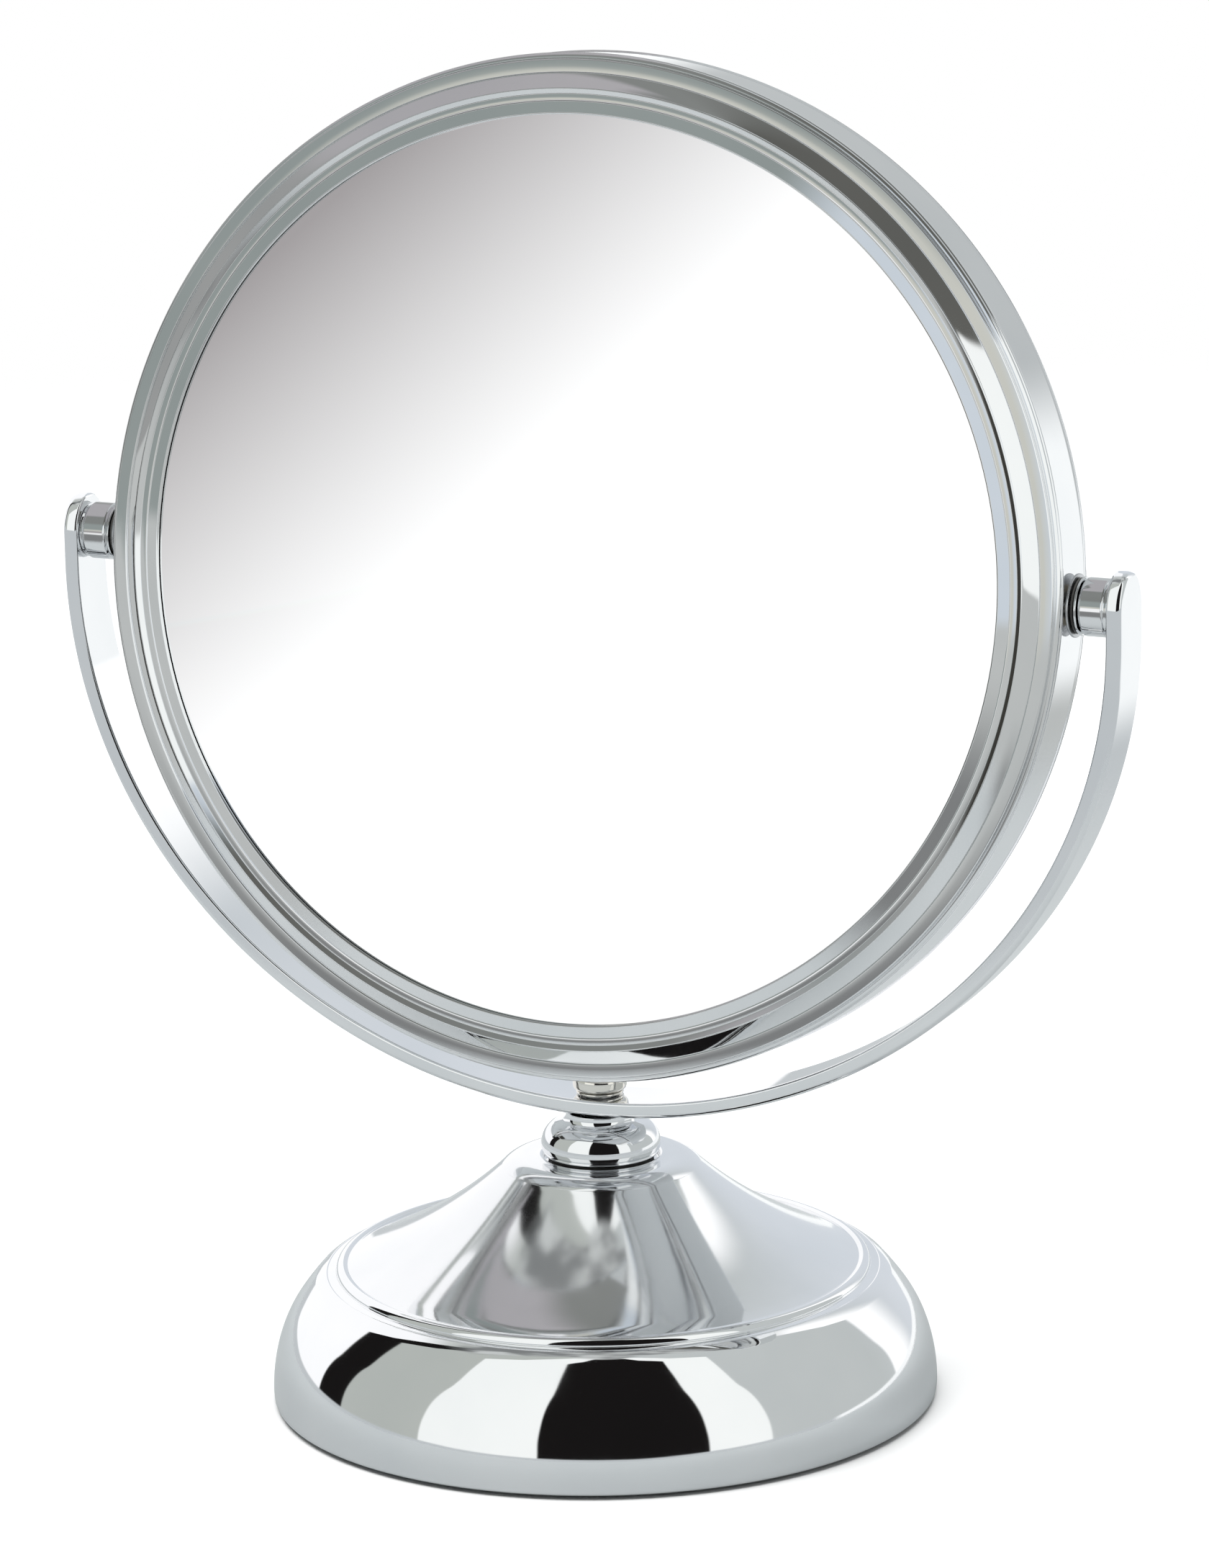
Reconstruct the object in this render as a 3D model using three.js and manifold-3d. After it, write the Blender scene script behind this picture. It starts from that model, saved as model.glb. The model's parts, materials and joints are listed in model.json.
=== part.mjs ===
// Two-sided tabletop shaving mirror on a weighted bell base.
// Units are millimetres, +Z is up, the mirror looks along -Y and the yoke spans X.
// The origin is the middle of the footprint, on the surface that the base stands on.
import * as THREE from 'three';
import { mergeVertices } from 'three/addons/utils/BufferGeometryUtils.js';
import Module from 'manifold-3d';

// ---- Driving dimensions ----

const PIVOT_HEIGHT = 142.65;
const REST_TILT_DEG = 7;

const HOOP_RADIUS = 84.8;
const HOOP_WALL = 1.4;
const HOOP_HALF_DEPTH = 5.5;
const GLASS_RADIUS = 77;
const GLASS_VISIBLE_RADIUS = 75;
const GLASS_THICKNESS = 3;
const GLASS_FACE = 8.3;
const MAGNIFIER_SAG = 4.2;
const BEZEL_CREST = 9.7;

const CORE_INNER_RADIUS = 71;
const CORE_FLANGE_HALF_DEPTH = 3.2;
const CORE_RIM_HALF_DEPTH = 5.2;

const YOKE_HALF_SPAN = 92.15;
const YOKE_CROOK_RADIUS = 85.63;
const YOKE_CROOK_DROP = 4.65;
const YOKE_THICKNESS = 2.7;
const YOKE_WIDTH = 10.8;
const YOKE_TIP_RISE = 6.2;

const PIN_RADIUS = 2;
const SLEEVE_RADIUS = 4.8;
const BUSH_RADIUS = 3.5;
const BUSH_START = 76;
const PIVOT_WASHER_RADIUS = 5.2;
const PIVOT_WASHER_THICKNESS = 0.4;
const SPIGOT_RADIUS = 2.5;
const SPIGOT_DEPTH = 1.5;

const BASE_RADIUS = 56.1;
const BASE_WALL = 1.2;
const SKIRT_CENTRE_RADIUS = 41;
const SKIRT_FOOT = 2;
const SKIRT_RISE = 21;
const PAD_THICKNESS = 1.5;
const PLATE_THICKNESS = 1.3;
const WEIGHT_RADIUS = 48;
const WEIGHT_HEIGHT = 10;
const HUB_RADIUS = 9;
const LEDGE_HEIGHT = 41.8;
const SEAT_HEIGHT = 40.9;
const SEAT_RADIUS = 9.6;

const ROD_RADIUS = 3;
const COLLAR_BOTTOM = 42.1;
const SCREW_COUNT = 3;
const SCREW_CIRCLE = 32;

// Clearances: loose around turning or inserted pieces, tight between faces that rest on each other.
const LOOSE = 0.3;
const TIGHT = 0.2;

// Facets around each kind of round piece.
const WIDE_FACETS = 36;
const MEDIUM_FACETS = 24;
const SMALL_FACETS = 12;

const YOKE_CROOK_HEIGHT = PIVOT_HEIGHT - YOKE_CROOK_DROP;
const YOKE_FLOOR = YOKE_CROOK_HEIGHT - YOKE_CROOK_RADIUS;
const YOKE_UNDERSIDE = YOKE_FLOOR - YOKE_THICKNESS;
const COLLAR_TOP = YOKE_UNDERSIDE - TIGHT;
const PLATE_BOTTOM = PAD_THICKNESS + TIGHT;
const PLATE_TOP = PLATE_BOTTOM + PLATE_THICKNESS;
const WEIGHT_BOTTOM = PLATE_TOP + TIGHT;
const WEIGHT_TOP = WEIGHT_BOTTOM + WEIGHT_HEIGHT;
const HUB_TOP = SEAT_HEIGHT - BASE_WALL - TIGHT;
const NUT_POCKET_TOP = WEIGHT_BOTTOM + 7;

const wasm = await Module();
wasm.setup();

// ---- Materials ----

const finish = (color, roughness, metalness) => new THREE.MeshStandardMaterial({ color, roughness, metalness });
const CHROME = finish(0xd6dadd, 0.06, 1);
const NICKEL = finish(0xcfc8bb, 0.12, 1);
const STEEL = finish(0x9a9c9e, 0.35, 1);
const BRASS = finish(0xb99a52, 0.3, 1);
const IRON = finish(0x3a3b3d, 0.7, 0.8);
const GLASS = finish(0xe9ecef, 0.02, 1);
const NYLON = finish(0x26272b, 0.5, 0);
const CARRIER = finish(0x4a4c50, 0.55, 0);
const FOAM = finish(0x6c6c6a, 0.9, 0);
const RUBBER = finish(0x1d1d1f, 0.85, 0);

// ---- Geometry helpers ----

const radians = (degrees) => degrees * Math.PI / 180;
const mirrored = (profile) => profile.map(([radius, depth]) => [radius, -depth]).reverse();

/** Points of an elliptical arc in a profile, angles in degrees from +radius towards +height. */
function arc(radius, height, radialSize, axialSize, fromDeg, toDeg, steps) {
  const points = [];
  for (let i = 0; i <= steps; i += 1) {
    const angle = radians(fromDeg + (toDeg - fromDeg) * i / steps);
    points.push([radius + radialSize * Math.cos(angle), height + axialSize * Math.sin(angle)]);
  }
  return points;
}

/** Turns a profile of [radius, height] points, listed anticlockwise, about +Z. */
function turned(profile, facets) {
  const onAxis = profile[0][0] === 0;
  const outline = onAxis ? profile : [...profile, profile[0]];
  const points = outline.map(([radius, height]) => new THREE.Vector2(radius, height));
  return new THREE.LatheGeometry(points, facets).rotateX(Math.PI / 2);
}

/** A flat ring or tube about +Z with a plain rectangular section. */
function ring(inner, outer, bottom, top, facets) {
  return turned([[inner, bottom], [outer, bottom], [outer, top], [inner, top]], facets);
}

/** A solid round bar about +Z. */
function bar(radius, bottom, top, facets) {
  return turned([[0, bottom], [radius, bottom], [radius, top], [0, top]], facets);
}

/** Points the +Z axis of a head piece forwards, along -Y. */
const facingForward = (geometry) => geometry.rotateX(Math.PI / 2);

/** Lays a pivot piece along X, its +Z end pointing away from the mirror on the given side. */
const alongPivot = (geometry, side) => geometry.rotateY(side * Math.PI / 2);

/** Turns a closed three.js geometry into a solid for joining and cutting. */
function solid(geometry) {
  const bare = geometry.clone();
  bare.deleteAttribute('normal');
  bare.deleteAttribute('uv');
  const merged = mergeVertices(bare, 1e-5);
  const corners = merged.index.array;
  const triangles = [];
  for (let i = 0; i < corners.length; i += 3) {
    const [a, b, c] = [corners[i], corners[i + 1], corners[i + 2]];
    if (a !== b && b !== c && c !== a) triangles.push(a, b, c);
  }
  const vertProperties = new Float32Array(merged.attributes.position.array);
  const triVerts = new Uint32Array(triangles);
  return new wasm.Manifold(new wasm.Mesh({ numProp: 3, vertProperties, triVerts }));
}

/** Turns a solid back into a three.js geometry. */
function shape(body) {
  const mesh = body.getMesh();
  const geometry = new THREE.BufferGeometry();
  geometry.setAttribute('position', new THREE.BufferAttribute(mesh.vertProperties, 3));
  geometry.setIndex(new THREE.BufferAttribute(mesh.triVerts, 1));
  geometry.computeVertexNormals();
  return geometry;
}

/** Cuts every tool out of a geometry. */
function cut(geometry, tools) {
  let body = solid(geometry);
  for (const tool of tools) body = body.subtract(solid(tool));
  return shape(body);
}

function addPart(group, name, geometry, material) {
  const mesh = new THREE.Mesh(geometry, material);
  mesh.name = name;
  group.add(mesh);
}

// ---- Mirror head, built upright around the pivot axis ----

/** Cross-section of a bezel: inner lip, rounded bead, groove, sloping face, outer bead and tongue. */
function bezelProfile() {
  const seam = HOOP_HALF_DEPTH + LOOSE;
  const tongueOuter = HOOP_RADIUS - HOOP_WALL - LOOSE;
  const tongueInner = tongueOuter - 1;
  const lipBack = GLASS_FACE + LOOSE;
  return [
    [tongueInner, seam - 2],
    [tongueOuter, seam - 2],
    [tongueOuter, seam],
    [HOOP_RADIUS + 0.1, seam],
    [HOOP_RADIUS - 0.9, 7.3],
    [HOOP_RADIUS - 2, 7.9],
    [HOOP_RADIUS - 3.1, 7.5],
    [HOOP_RADIUS - 5.5, 8.9],
    [HOOP_RADIUS - 6.2, 9.3],
    [GLASS_VISIBLE_RADIUS + 2.3, BEZEL_CREST],
    [GLASS_VISIBLE_RADIUS, lipBack + 0.3],
    [GLASS_VISIBLE_RADIUS, lipBack],
    [GLASS_RADIUS + LOOSE, lipBack],
    [GLASS_RADIUS + LOOSE, seam],
    [tongueInner, seam],
  ];
}

/** Flat ground glass disc with arrised edges. */
function flatGlass() {
  const back = GLASS_FACE - GLASS_THICKNESS;
  const arris = 0.4;
  const profile = [
    [0, back],
    [GLASS_RADIUS - arris, back],
    [GLASS_RADIUS, back + arris],
    [GLASS_RADIUS, GLASS_FACE - arris],
    [GLASS_RADIUS - arris, GLASS_FACE],
    [0, GLASS_FACE],
  ];
  return turned(profile, WIDE_FACETS);
}

/** Depth of the dished glass below its rim plane at a radius. */
const dish = (radius) => MAGNIFIER_SAG * (1 - (radius / GLASS_RADIUS) ** 2);

/** Bent magnifying glass of even thickness, dished towards the middle of the head. */
function dishedGlass() {
  const steps = 4;
  const face = [];
  const back = [];
  for (let i = 0; i <= steps; i += 1) {
    const radius = GLASS_RADIUS * i / steps;
    face.push([radius, -GLASS_FACE + dish(radius)]);
    back.unshift([radius, -GLASS_FACE + GLASS_THICKNESS + dish(radius)]);
  }
  return turned([...face, ...back], WIDE_FACETS);
}

/** Foam ring behind the dished glass, its glass side following the dish. */
function rearBackingRing() {
  const inner = 66;
  const outer = 75;
  const glassBack = (radius) => -GLASS_FACE + GLASS_THICKNESS + dish(radius) + LOOSE;
  const carrierSide = -CORE_FLANGE_HALF_DEPTH - TIGHT;
  const profile = [
    [inner, glassBack(inner)],
    [outer, glassBack(outer)],
    [outer, carrierSide],
    [inner, carrierSide],
  ];
  return turned(profile, WIDE_FACETS);
}

/** Hoop that wraps the head's rim, with a slight bead along each edge. */
function hoop() {
  const inner = HOOP_RADIUS - HOOP_WALL;
  const bead = 0.2;
  const beadHeight = 1;
  const profile = [
    [inner, -HOOP_HALF_DEPTH],
    [HOOP_RADIUS + bead, -HOOP_HALF_DEPTH],
    [HOOP_RADIUS, beadHeight - HOOP_HALF_DEPTH],
    [HOOP_RADIUS, HOOP_HALF_DEPTH - beadHeight],
    [HOOP_RADIUS + bead, HOOP_HALF_DEPTH],
    [inner, HOOP_HALF_DEPTH],
  ];
  return cut(facingForward(turned(profile, WIDE_FACETS)), bushHoles());
}

/** Cutters for the two bush holes, through the rim on both sides. */
function bushHoles() {
  const cutter = () => bar(BUSH_RADIUS + LOOSE, CORE_INNER_RADIUS - 4, HOOP_RADIUS + 4, SMALL_FACETS);
  return [alongPivot(cutter(), 1), alongPivot(cutter(), -1)];
}

/** Moulded ring between the two glasses: a flange behind them and a deeper rim for the bushes. */
function coreRing() {
  const outer = HOOP_RADIUS - HOOP_WALL - LOOSE;
  const rimOuter = outer - 1.4;
  const rimInner = GLASS_RADIUS + 2 * LOOSE;
  const edge = CORE_FLANGE_HALF_DEPTH + TIGHT;
  const half = [
    [outer, edge],
    [rimOuter, edge],
    [rimOuter, CORE_RIM_HALF_DEPTH],
    [rimInner, CORE_RIM_HALF_DEPTH],
    [rimInner, CORE_FLANGE_HALF_DEPTH],
    [CORE_INNER_RADIUS, CORE_FLANGE_HALF_DEPTH],
  ];
  const body = turned([...mirrored(half), ...half], WIDE_FACETS);
  return cut(facingForward(body), bushHoles());
}

function buildHead() {
  const head = new THREE.Group();
  const bezel = bezelProfile();
  addPart(head, 'frame_hoop', hoop(), CHROME);
  addPart(head, 'front_bezel', facingForward(turned(bezel, WIDE_FACETS)), CHROME);
  addPart(head, 'rear_bezel', facingForward(turned(mirrored(bezel), WIDE_FACETS)), CHROME);
  addPart(head, 'front_mirror_glass', facingForward(flatGlass()), GLASS);
  addPart(head, 'rear_magnifying_glass', facingForward(dishedGlass()), GLASS);

  const padTop = GLASS_FACE - GLASS_THICKNESS - LOOSE;
  const pad = bar(75, padTop - 1.1, padTop, WIDE_FACETS);
  addPart(head, 'front_backing_pad', facingForward(pad), FOAM);
  addPart(head, 'rear_backing_ring', facingForward(rearBackingRing()), FOAM);
  addPart(head, 'core_ring', coreRing(), CARRIER);

  for (const [label, side] of [['left', -1], ['right', 1]]) {
    const bush = ring(PIN_RADIUS + LOOSE, BUSH_RADIUS, BUSH_START, HOOP_RADIUS, SMALL_FACETS);
    addPart(head, `${label}_pivot_bush`, alongPivot(bush, side), BRASS);
  }
  head.position.z = PIVOT_HEIGHT;
  head.rotation.x = radians(-REST_TILT_DEG);
  return head;
}

// ---- Yoke ----

/** Outline of the bent yoke band in X and Z, from the right arm's tip round to the left one's. */
function yokeOutline(inset) {
  const halfSpan = YOKE_HALF_SPAN + inset;
  const crook = YOKE_CROOK_RADIUS + inset;
  const tip = [[halfSpan, PIVOT_HEIGHT + YOKE_WIDTH]];
  const bend = arc(0, YOKE_CROOK_HEIGHT, halfSpan, crook, 0, -180, 32);
  const farTip = [[-halfSpan, PIVOT_HEIGHT + YOKE_WIDTH]];
  return [...tip, ...bend, ...farTip];
}

/** Flat band bent to a U, with rounded ends just above the pivot axis. */
function yokeArm() {
  const outline = [...yokeOutline(YOKE_THICKNESS), ...yokeOutline(0).reverse()];
  const section = new THREE.Shape(outline.map(([x, z]) => new THREE.Vector2(x, z)));
  const band = new THREE.ExtrudeGeometry(section, { depth: YOKE_WIDTH, bevelEnabled: false });
  band.translate(0, 0, -YOKE_WIDTH / 2).rotateX(Math.PI / 2);

  const reach = YOKE_HALF_SPAN + 10;
  const below = new THREE.BoxGeometry(2 * reach, 2 * YOKE_WIDTH, PIVOT_HEIGHT);
  below.translate(0, 0, PIVOT_HEIGHT / 2);
  const rounding = bar(YOKE_WIDTH / 2, -reach, reach, 16).rotateY(Math.PI / 2);
  rounding.scale(1, 1, YOKE_TIP_RISE / (YOKE_WIDTH / 2));
  rounding.translate(0, 0, PIVOT_HEIGHT);
  const envelope = solid(below).add(solid(rounding));

  const rodHole = bar(ROD_RADIUS + LOOSE, YOKE_UNDERSIDE - 5, YOKE_FLOOR + 5, SMALL_FACETS);
  let body = solid(band).intersect(envelope).subtract(solid(rodHole));
  for (const side of [-1, 1]) {
    const blindEnd = YOKE_HALF_SPAN + SPIGOT_DEPTH;
    const socket = bar(SPIGOT_RADIUS + LOOSE, YOKE_HALF_SPAN - 5, blindEnd, SMALL_FACETS);
    body = body.subtract(solid(alongPivot(socket, side).translate(0, 0, PIVOT_HEIGHT)));
  }
  return shape(body);
}

/** Stud with a spigot in the arm, a sleeve across the gap and a pin into the head. */
function pivotStud(sleeveStart, pinStart) {
  const grooveRadius = PIN_RADIUS - 0.5;
  const profile = [
    [0, pinStart],
    [PIN_RADIUS, pinStart],
    [PIN_RADIUS, pinStart + 0.7],
    [grooveRadius, pinStart + 0.7],
    [grooveRadius, pinStart + 1.7],
    [PIN_RADIUS, pinStart + 1.7],
    [PIN_RADIUS, sleeveStart],
    [SLEEVE_RADIUS - 0.3, sleeveStart],
    [SLEEVE_RADIUS, sleeveStart + 0.3],
    [SLEEVE_RADIUS, YOKE_HALF_SPAN - TIGHT],
    [SPIGOT_RADIUS, YOKE_HALF_SPAN - TIGHT],
    [SPIGOT_RADIUS, YOKE_HALF_SPAN + SPIGOT_DEPTH - LOOSE],
    [0, YOKE_HALF_SPAN + SPIGOT_DEPTH - LOOSE],
  ];
  return turned(profile, SMALL_FACETS);
}

/** Adds one arm's stud, the three washers between sleeve and hoop, and the clip on the pin's end. */
function addPivot(yoke, label, side) {
  const place = (geometry) => alongPivot(geometry, side).translate(0, 0, PIVOT_HEIGHT);
  const bore = PIN_RADIUS + LOOSE;
  let face = HOOP_RADIUS + 0.2 + LOOSE;
  const stack = [
    ['spring_washer', PIVOT_WASHER_RADIUS, STEEL],
    ['friction_washer', SLEEVE_RADIUS - 0.2, NYLON],
    ['outer_washer', SLEEVE_RADIUS, CHROME],
  ];
  for (const [kind, radius, material] of stack) {
    const washer = ring(bore, radius, face, face + PIVOT_WASHER_THICKNESS, SMALL_FACETS);
    addPart(yoke, `${label}_${kind}`, place(washer), material);
    face += PIVOT_WASHER_THICKNESS + TIGHT;
  }
  const pinStart = BUSH_START - 2;
  addPart(yoke, `${label}_pivot_stud`, place(pivotStud(face, pinStart)), CHROME);
  const clip = ring(PIN_RADIUS - 0.3, PIN_RADIUS + 1.1, pinStart + 0.9, pinStart + 1.5, SMALL_FACETS);
  addPart(yoke, `${label}_retaining_clip`, place(clip), STEEL);
}

/** Turned collar: a lip, a full round bead and a waisted neck under the yoke. */
function collar() {
  const bore = ROD_RADIUS + LOOSE;
  const beadRadius = 4.15;
  const beadHeight = COLLAR_BOTTOM + 1.8;
  const neck = 5.8;
  const profile = [
    [bore, COLLAR_BOTTOM],
    [SEAT_RADIUS - 0.6, COLLAR_BOTTOM],
    [SEAT_RADIUS + 0.1, COLLAR_BOTTOM + 0.3],
    [SEAT_RADIUS + 0.1, COLLAR_BOTTOM + 0.7],
    ...arc(neck + 0.1, beadHeight, beadRadius, beadRadius, -12, 66, 4),
    ...arc(neck + 1.1, COLLAR_TOP - 0.6, 1.1, 1.1, 240, 180, 2),
    [neck, COLLAR_TOP],
    [bore, COLLAR_TOP],
  ];
  return turned(profile, MEDIUM_FACETS);
}

/** Barrel-sided cap nut, rounded over its top, with a blind bore for the rod's end. */
function capNut(bottom) {
  const bore = ROD_RADIUS + LOOSE;
  const radius = 4.55;
  const crown = 1.7;
  const height = 3.3;
  const profile = [
    [bore, bottom],
    [radius - 0.65, bottom],
    [radius - 0.1, bottom + 0.5],
    ...arc(radius - crown, bottom + height - crown, crown, crown, 0, 90, 3),
    [0, bottom + height],
    [0, bottom + height - 1],
    [bore, bottom + height - 1],
  ];
  return turned([...profile.slice(-2), ...profile.slice(0, -2)], SMALL_FACETS);
}

/** Hexagon nut about +Z with a plain round bore. */
function hexNut(bottom, height, acrossFlats) {
  const hexagon = turned([
    [0, bottom],
    [acrossFlats / Math.sqrt(3), bottom],
    [acrossFlats / Math.sqrt(3), bottom + height],
    [0, bottom + height],
  ], 6);
  return cut(hexagon, [bar(ROD_RADIUS + LOOSE, bottom - 1, bottom + height + 1, SMALL_FACETS)]);
}

function buildYoke() {
  const yoke = new THREE.Group();
  const bore = ROD_RADIUS + LOOSE;
  addPart(yoke, 'yoke_arm', yokeArm(), CHROME);
  addPivot(yoke, 'left', -1);
  addPivot(yoke, 'right', 1);
  addPart(yoke, 'collar', collar(), CHROME);

  const washerBottom = YOKE_FLOOR + LOOSE;
  const washerTop = washerBottom + 0.4;
  addPart(yoke, 'cap_nut_washer', ring(bore, 4, washerBottom, washerTop, SMALL_FACETS), NICKEL);
  addPart(yoke, 'cap_nut', capNut(washerTop + 0.1), NICKEL);

  const washerTopBelow = NUT_POCKET_TOP - TIGHT - 0.8 - TIGHT;
  const steelWasher = ring(bore, 7, washerTopBelow - 0.8, washerTopBelow, SMALL_FACETS);
  addPart(yoke, 'tension_washer', steelWasher, STEEL);
  const nutHeight = 4;
  const nutBottom = washerTopBelow - 0.8 - TIGHT - nutHeight;
  addPart(yoke, 'lock_nut', hexNut(nutBottom, nutHeight, 10), STEEL);
  const rodTop = washerTop + 2.1;
  addPart(yoke, 'stem_rod', bar(ROD_RADIUS, nutBottom + 0.4, rodTop, SMALL_FACETS), STEEL);
  return yoke;
}

// ---- Base ----

/** Outer surface of the base shell: foot, skirt, stepped rim, bead, bell and the seat on top. */
function baseSurface() {
  const reach = BASE_RADIUS - SKIRT_CENTRE_RADIUS;
  const skirt = arc(SKIRT_CENTRE_RADIUS, SKIRT_FOOT, reach, SKIRT_RISE, 0, 42, 4);
  const slopeCurve = 44.7;
  const slope = arc(15.2, -8.9, slopeCurve, slopeCurve, 35, 42, 2);
  const rim = [[46.7, 22.2], [46.1, 22.2], [45.15, 22.4]];
  const bead = arc(43.9, 22.5, 1.2, 1.2, 10, 130, 3);
  const bell = flare([42.4, 23.6], [16.6, 40.3], 1.4, 4);
  const shoulder = arc(12.9, LEDGE_HEIGHT - 5.5, 5.5, 5.5, 46, 90, 2);
  const seat = [[SEAT_RADIUS + 0.9, LEDGE_HEIGHT - 0.1], [SEAT_RADIUS, SEAT_HEIGHT]];
  const foot = [[BASE_RADIUS - 0.2, 0.4]];
  return [...foot, ...skirt, ...slope, ...rim, ...bead, ...bell, ...shoulder, ...seat];
}

/** Slightly hollow slope between two profile points, sagging by the given depth at its middle. */
function flare([startRadius, startHeight], [endRadius, endHeight], sag, steps) {
  const points = [];
  for (let i = 0; i <= steps; i += 1) {
    const along = i / steps;
    const hollow = 4 * sag * along * (1 - along);
    const radius = startRadius + (endRadius - startRadius) * along;
    const height = startHeight + (endHeight - startHeight) * along;
    points.push([radius - hollow * 0.54, height - hollow * 0.84]);
  }
  return points;
}

/** Inner surface of the base shell, a plainer line one wall thickness inside the outer one. */
function baseLining() {
  const reach = BASE_RADIUS - SKIRT_CENTRE_RADIUS - BASE_WALL;
  const skirt = arc(SKIRT_CENTRE_RADIUS, SKIRT_FOOT, reach, SKIRT_RISE - BASE_WALL, 68, 0, 3);
  const foot = [[BASE_RADIUS - 0.2 - BASE_WALL, 0.4]];
  return [
    [ROD_RADIUS + 0.5, SEAT_HEIGHT - BASE_WALL],
    [14, SEAT_HEIGHT - BASE_WALL],
    [27.4, 29.4],
    [SKIRT_CENTRE_RADIUS, 22.6],
    ...skirt,
    ...foot,
  ];
}

function baseShell() {
  const bore = [[ROD_RADIUS + 0.5, SEAT_HEIGHT]];
  return turned([...baseLining(), ...baseSurface(), ...bore], WIDE_FACETS);
}

/** Countersunk screw about +Z, head down; grow makes it the cutter for its own hole. */
function countersunkScrew(grow) {
  const head = 2.8 + grow;
  const shank = 1.5 + grow;
  const bottom = PLATE_BOTTOM - (grow > 0 ? 1 : 0);
  const tip = WEIGHT_BOTTOM + 6 + grow;
  const profile = [
    [0, bottom],
    [head, bottom],
    [head, PLATE_BOTTOM + 0.2],
    [shank, PLATE_TOP],
    [shank, tip],
    [0, tip],
  ];
  return turned(profile, SMALL_FACETS);
}

/** One copy of a geometry at each base screw's place. */
function atScrews(make) {
  const copies = [];
  for (let i = 0; i < SCREW_COUNT; i += 1) {
    const angle = 2 * Math.PI * i / SCREW_COUNT;
    const placed = make().translate(SCREW_CIRCLE * Math.cos(angle), SCREW_CIRCLE * Math.sin(angle), 0);
    copies.push(placed);
  }
  return copies;
}

/** Cast weight: a thick disc with a hub that carries the shell's seat and a pocket for the nut. */
function baseWeight() {
  const bore = ROD_RADIUS + 0.5;
  const pocket = 9;
  const profile = [
    [pocket, WEIGHT_BOTTOM],
    [WEIGHT_RADIUS, WEIGHT_BOTTOM],
    [WEIGHT_RADIUS, WEIGHT_TOP - 2],
    [WEIGHT_RADIUS - 2, WEIGHT_TOP],
    [HUB_RADIUS + 6, WEIGHT_TOP],
    [HUB_RADIUS, WEIGHT_TOP + 6],
    [HUB_RADIUS, HUB_TOP],
    [bore, HUB_TOP],
    [bore, NUT_POCKET_TOP],
    [pocket, NUT_POCKET_TOP],
  ];
  return cut(turned(profile, MEDIUM_FACETS), atScrews(() => countersunkScrew(LOOSE)));
}

function basePlate() {
  const plate = ring(6, BASE_RADIUS - 4, PLATE_BOTTOM, PLATE_TOP, WIDE_FACETS);
  return cut(plate, atScrews(() => countersunkScrew(LOOSE)));
}

function buildBase() {
  const base = new THREE.Group();
  const bore = ROD_RADIUS + LOOSE;
  addPart(base, 'base_shell', baseShell(), CHROME);
  const swivelWasher = ring(bore, SEAT_RADIUS - 0.7, SEAT_HEIGHT + TIGHT, COLLAR_BOTTOM - TIGHT, MEDIUM_FACETS);
  addPart(base, 'swivel_washer', swivelWasher, NYLON);
  const liningTop = NUT_POCKET_TOP - TIGHT;
  addPart(base, 'tension_liner', ring(bore, 8, liningTop - 0.8, liningTop, SMALL_FACETS), NYLON);
  addPart(base, 'base_weight', baseWeight(), IRON);
  addPart(base, 'base_plate', basePlate(), STEEL);
  atScrews(() => countersunkScrew(0)).forEach((screw, i) => {
    addPart(base, `base_plate_screw_${i + 1}`, screw, STEEL);
  });
  addPart(base, 'base_pad', bar(BASE_RADIUS - 4, 0, PAD_THICKNESS, WIDE_FACETS), RUBBER);
  return base;
}

const mirror = new THREE.Group();
mirror.add(buildBase(), buildYoke(), buildHead());
export default mirror;
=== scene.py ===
"""Looks of the two-sided tabletop shaving mirror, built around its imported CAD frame."""
import json
import math

import bpy
from mathutils import Matrix, Vector


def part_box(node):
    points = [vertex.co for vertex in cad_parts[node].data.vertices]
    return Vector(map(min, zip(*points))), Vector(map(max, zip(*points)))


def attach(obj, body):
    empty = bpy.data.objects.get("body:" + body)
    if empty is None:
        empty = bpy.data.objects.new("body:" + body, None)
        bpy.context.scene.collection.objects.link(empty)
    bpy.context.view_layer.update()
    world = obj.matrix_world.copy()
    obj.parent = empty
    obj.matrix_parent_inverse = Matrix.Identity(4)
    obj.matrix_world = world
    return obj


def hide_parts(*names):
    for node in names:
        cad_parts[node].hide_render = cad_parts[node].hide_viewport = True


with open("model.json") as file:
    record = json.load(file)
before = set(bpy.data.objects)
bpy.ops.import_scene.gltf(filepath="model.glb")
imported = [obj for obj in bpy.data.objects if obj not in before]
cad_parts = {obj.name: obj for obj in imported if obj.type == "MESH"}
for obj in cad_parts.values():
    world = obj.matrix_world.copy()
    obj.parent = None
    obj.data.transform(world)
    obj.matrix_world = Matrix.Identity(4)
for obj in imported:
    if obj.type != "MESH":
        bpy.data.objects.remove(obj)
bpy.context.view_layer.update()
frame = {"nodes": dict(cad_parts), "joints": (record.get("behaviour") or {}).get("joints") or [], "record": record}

# ---- Driving sizes, in millimetres unless a name says otherwise ----

MM = 0.001
JOINTS = {joint["name"]: joint for joint in frame["joints"]}
PIVOT_HEIGHT = JOINTS["mirror_tilt"]["pos_m"][2] / MM
REST_TILT_DEG = 7.0

HOOP_RADIUS = 84.8
HOOP_HALF_DEPTH = 5.5
HOOP_WALL = 1.4
GLASS_RADIUS = 77.0
GLASS_VISIBLE_RADIUS = 75.0
GLASS_THICKNESS = 3.0
GLASS_FACE = 8.3
MAGNIFIER_SAG = 4.2

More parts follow.
